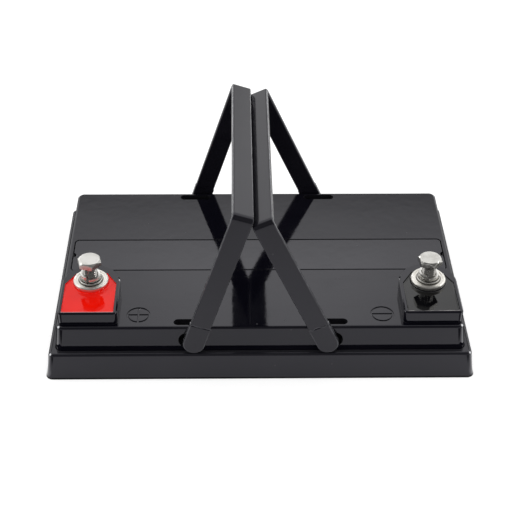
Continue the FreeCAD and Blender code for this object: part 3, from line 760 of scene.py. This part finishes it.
# %% [markdown]
# ## Split washer
# A split washer is a square wire wound almost one turn and raised evenly as it goes, so that its
# two ends stand apart. A flat cube is merged into one upright square face, spun round the
# terminal, and then lifted and turned point by point. It is modelled once, round the positive
# terminal, and each terminal gets a copy with its own mesh.

# %% Split washer
SPLIT_BORE = 4.15 * MM
SPLIT_THICK = 2.0 * MM
SPLIT_START = math.radians(250)
SPLIT_OPENING = math.radians(14)
SPLIT_STEPS = 60
FLAT = 0.001 * MM         # a cube this thin merges into one face
MERGE_FLAT = 0.01 * MM
MERGE_SEAMS = 0.002 * MM


def split_washer():
    low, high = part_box("positive_spring_washer")
    middle = TERMINAL["positive"]
    turn = 2 * math.pi - SPLIT_OPENING
    only(None)
    bpy.ops.mesh.primitive_cube_add(
        size=1, location=(middle.x + (SPLIT_BORE + SPLIT_RADIUS) / 2, middle.y, low.z + SPLIT_THICK / 2),
        scale=(SPLIT_RADIUS - SPLIT_BORE, FLAT, SPLIT_THICK))
    obj = bpy.context.object
    bpy.ops.object.transform_apply(location=True, rotation=True, scale=True)
    bpy.ops.object.mode_set(mode="EDIT")
    bpy.ops.mesh.select_all(action="SELECT")
    bpy.ops.mesh.remove_doubles(threshold=MERGE_FLAT)
    bpy.ops.mesh.select_all(action="SELECT")
    bpy.ops.mesh.spin(steps=SPLIT_STEPS, angle=turn, center=(middle.x, middle.y, 0), axis=(0, 0, 1))
    bpy.ops.mesh.select_all(action="SELECT")
    bpy.ops.mesh.remove_doubles(threshold=MERGE_SEAMS)
    bpy.ops.mesh.normals_make_consistent(inside=False)
    bpy.ops.object.mode_set(mode="OBJECT")
    climb = high.z - low.z - SPLIT_THICK
    for vertex in obj.data.vertices:
        x, y = vertex.co.x - middle.x, vertex.co.y - middle.y
        angle, radius = math.atan2(y, x) % (2 * math.pi), math.hypot(x, y)
        vertex.co.x = middle.x + radius * math.cos(angle + SPLIT_START)
        vertex.co.y = middle.y + radius * math.sin(angle + SPLIT_START)
        vertex.co.z += climb * min(angle / turn, 1)
    softened(obj, 0.3 * MM)
    painted(obj, spring_plating)
    return obj


# %% [markdown]
# ## Bolt
# The bolt has a six-sided head and a real M8 thread. The head is cut from a copy of the solid.
# The thread is cut by moving the skin of a plain, finely divided shank in and out along a helix.
# The shank is the same on both terminals, so it is modelled once and copied too.

# %% Threaded shank
THREAD_PITCH = 1.25 * MM
THREAD_DEPTH = 0.6 * MM
HEAD_HEIGHT = 3.49 * MM
BOLT_RADIUS = 4 * MM
PLAIN_NECK = 1.0 * MM     # stays round under the head
LEAD_IN = 0.5 * MM        # how much thinner the tip is
SHANK_SIDES = 28
SHANK_RINGS = 96


def threaded_shank():
    low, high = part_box("positive_bolt")
    middle = TERMINAL["positive"]
    under = high.z - HEAD_HEIGHT
    only(None)
    bpy.ops.mesh.primitive_cylinder_add(vertices=SHANK_SIDES, radius=BOLT_RADIUS, depth=under - low.z,
                                        location=(middle.x, middle.y, (under + low.z) / 2))
    obj = bpy.context.object
    bpy.ops.object.transform_apply(location=True, rotation=True, scale=True)
    bpy.ops.object.mode_set(mode="EDIT")
    bpy.ops.mesh.select_all(action="DESELECT")
    bpy.ops.object.mode_set(mode="OBJECT")
    for edge in obj.data.edges:
        a, b = (obj.data.vertices[k].co for k in edge.vertices)
        edge.select = abs(a.z - b.z) > MM
    bpy.ops.object.mode_set(mode="EDIT")
    bpy.ops.mesh.subdivide(number_cuts=SHANK_RINGS)
    bpy.ops.object.mode_set(mode="OBJECT")
    for vertex in obj.data.vertices:
        x, y, height = vertex.co.x - middle.x, vertex.co.y - middle.y, vertex.co.z - low.z
        phase = (height / THREAD_PITCH + math.atan2(y, x) / (2 * math.pi)) % 1
        threaded = vertex.co.z < under - PLAIN_NECK
        cut = THREAD_DEPTH * (1 - abs(2 * phase - 1)) if threaded else 0
        tip = LEAD_IN * max(0.0, 1 - height / MM)
        share = 1 - max(cut, tip) / math.hypot(x, y)
        vertex.co.x, vertex.co.y = middle.x + x * share, middle.y + y * share
    painted(obj, thread_plating)
    only(obj)
    bpy.ops.object.shade_smooth_by_angle(angle=math.radians(30))
    return obj


# %% Bolt
def copied(obj, name, pole):
    """A copy with its own mesh, moved from the positive terminal to another."""
    twin = bpy.data.objects.new(name, obj.data.copy())
    scene.collection.objects.link(twin)
    twin.data.transform(Matrix.Translation(TERMINAL[pole] - TERMINAL["positive"]))
    return twin


def bolt(pole, shank_pattern):
    """The solid's head, softened, on a copy of the threaded shank."""
    head = welded_copy(f"{pole}_bolt", f"{pole}_hex_bolt")
    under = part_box(f"{pole}_bolt")[1].z - HEAD_HEIGHT
    bpy.ops.object.mode_set(mode="EDIT")
    bpy.ops.mesh.select_all(action="SELECT")
    bpy.ops.mesh.bisect(plane_co=(0, 0, under), plane_no=(0, 0, 1), clear_inner=True, use_fill=True)
    bpy.ops.object.mode_set(mode="OBJECT")
    softened(head, 0.18 * MM, sharper_than=20)
    painted(head, head_plating[pole])
    shank = copied(shank_pattern, f"{pole}_shank", pole)
    only(shank)
    head.select_set(True)
    bpy.context.view_layer.objects.active = head
    bpy.ops.object.join()
    finished(head, "root", f"{pole}_bolt")


# %% [markdown]
# ## The two terminals
# From the bottom up: the tinned ring, the flat washer, the split washer and the bolt. The ring
# and the flat washer are soft-edged copies of their solids.

# %% Terminals
split_pattern = split_washer()
shank_pattern = threaded_shank()
for pole in POLES:
    soft_copy(f"{pole}_terminal", f"{pole}_ring", 0.16 * MM, tinned[pole], "root")
    soft_copy(f"{pole}_flat_washer", f"{pole}_plain_washer", 0.2 * MM, washer_plating[pole],
              "root")
    split = copied(split_pattern, f"{pole}_split_washer", pole)
    finished(split, "root", f"{pole}_spring_washer")
    bolt(pole, shank_pattern)
for pattern in (split_pattern, shank_pattern):
    bpy.data.objects.remove(pattern)

# %% [markdown]
# ## Inside
# The plates, mats, links, posts and valve caps are closed in and never seen, but each still gets
# the look of its stuff, in case somebody opens the battery. Their solids stay as they are.

# %% Hidden pieces
def inner(name, light, dark, rough, metal=0.0, scale=300):
    """A clouded, grainy stuff."""
    def slots(g):
        cloud = g.noise(scale, 4, 0.6).rising(0.3, 0.7)
        return {"Base_Color": g.mixed(cloud, light, dark), "Roughness": rough + cloud * 0.15,
                "bump": (g.noise(scale * 4, 3) * 0.2 + cloud * 0.1, 1.0, 0.2 * MM)}
    return surface(name, slots, metal)


stuff = {
    "lead": inner("cast_lead", (0.34, 0.35, 0.37, 1), (0.24, 0.25, 0.27, 1), 0.42, metal=0.9),
    "positive_plate": inner("brown_paste", (0.12, 0.055, 0.038, 1), (0.08, 0.04, 0.03, 1), 0.8),
    "glass_mat": inner("glass_fibre_mat", (0.84, 0.84, 0.82, 1), (0.74, 0.74, 0.72, 1), 0.85, scale=900),
    "valve_rubber": inner("valve_rubber", (0.028, 0.028, 0.028, 1), (0.02, 0.02, 0.02, 1), 0.6),
}
slot_of = {part["node"]: part["material_slot"] for part in frame["record"]["subparts"]}
hidden = {node: obj for node, obj in frame["nodes"].items() if slot_of[node] in stuff}
for node, obj in hidden.items():
    for holder in obj.material_slots:
        holder.material = stuff[slot_of[node]]
print("hidden nodes painted:", len(hidden))
